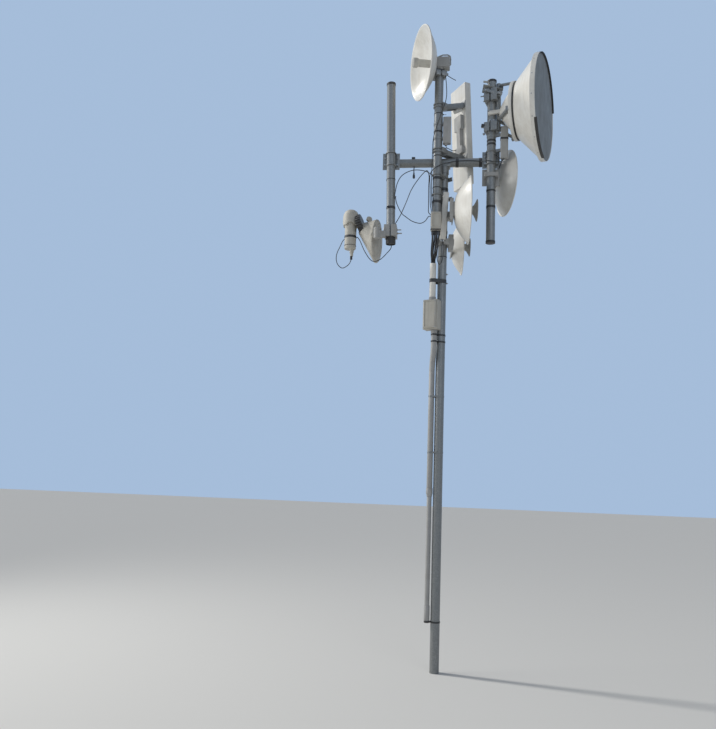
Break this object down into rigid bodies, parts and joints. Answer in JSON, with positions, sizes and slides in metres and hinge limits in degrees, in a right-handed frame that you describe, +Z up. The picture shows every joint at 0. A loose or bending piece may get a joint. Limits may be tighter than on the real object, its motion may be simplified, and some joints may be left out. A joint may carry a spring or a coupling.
{
  "type": "monopole radio relay mast",
  "caption": "Galvanised pipe mast with a crossarm head carrying poles, dishes, a horn, a sector panel, radios, boxes, conduits and held leads.",
  "frame": {"origin": "middle of the mast's closed foot, at ground level", "axes": "+X along the crossarm towards the covered deep dish, +Y away from the boxes and conduits, +Z up the mast"},
  "size_m": [1.92, 1.2791, 5.5029],
  "materials": {
    "galvanised": "hot-dip galvanised, dulled by weather",
    "dish_white": "white powder coat, slightly chalked",
    "grid_paint": "white powder coat on pressed sheet, dulled by weather",
    "cover_grey": "grey moulded weather cover",
    "radio_grey": "grey weathered housing",
    "feed_grey": "grey moulded feed",
    "box_beige": "pale moulded housing",
    "conduit_grey": "grey rigid conduit",
    "black_plastic": "black moulded plastic",
    "cable_black": "black cable sheath"
  },
  "bodies": {
    "root": {"mast_pole": "galvanised", "mast_head_tee": "galvanised", "crossarm": "galvanised", "upper_pole": "galvanised", "left_pole": "galvanised", "right_pole": "galvanised", "pole_caps": "black_plastic", "crossover_clamps": "galvanised", "upper_pole_clamps": "galvanised", "top_dish": "dish_white", "top_dish_feed": "feed_grey", "top_dish_mount": "galvanised", "top_radio": "radio_grey", "drum_dish": "dish_white", "drum_cover": "cover_grey", "drum_gasket": "black_plastic", "drum_back_ring": "dish_white", "drum_mount": "galvanised", "right_pole_radio": "radio_grey", "low_dish": "dish_white", "low_dish_feed": "feed_grey", "low_dish_mount": "radio_grey", "sector_panel": "dish_white", "sector_brackets": "galvanised", "sector_filter": "radio_grey", "sector_radio": "radio_grey", "radio_straps": "galvanised", "stacked_dish": "dish_white", "stacked_dish_feed": "feed_grey", "stacked_dish_mount": "radio_grey", "grid_dish": "grid_paint", "grid_dish_feed": "feed_grey", "grid_dish_mount": "radio_grey", "slim_radio": "dish_white", "surge_box": "box_beige", "surge_box_glands": "black_plastic", "cable_conduit": "dish_white", "pull_box": "box_beige", "pull_box_lid": "box_beige", "riser_conduit": "conduit_grey", "riser_bend": "conduit_grey", "drop_conduit": "conduit_grey", "conduit_fittings": "conduit_grey", "mast_band": "black_plastic", "horn": "box_beige", "horn_lock_ring": "black_plastic", "horn_radio": "box_beige", "horn_mount": "radio_grey", "trunk_cables": "cable_black", "patch_leads": "cable_black"}
  },
  "joints": []
}
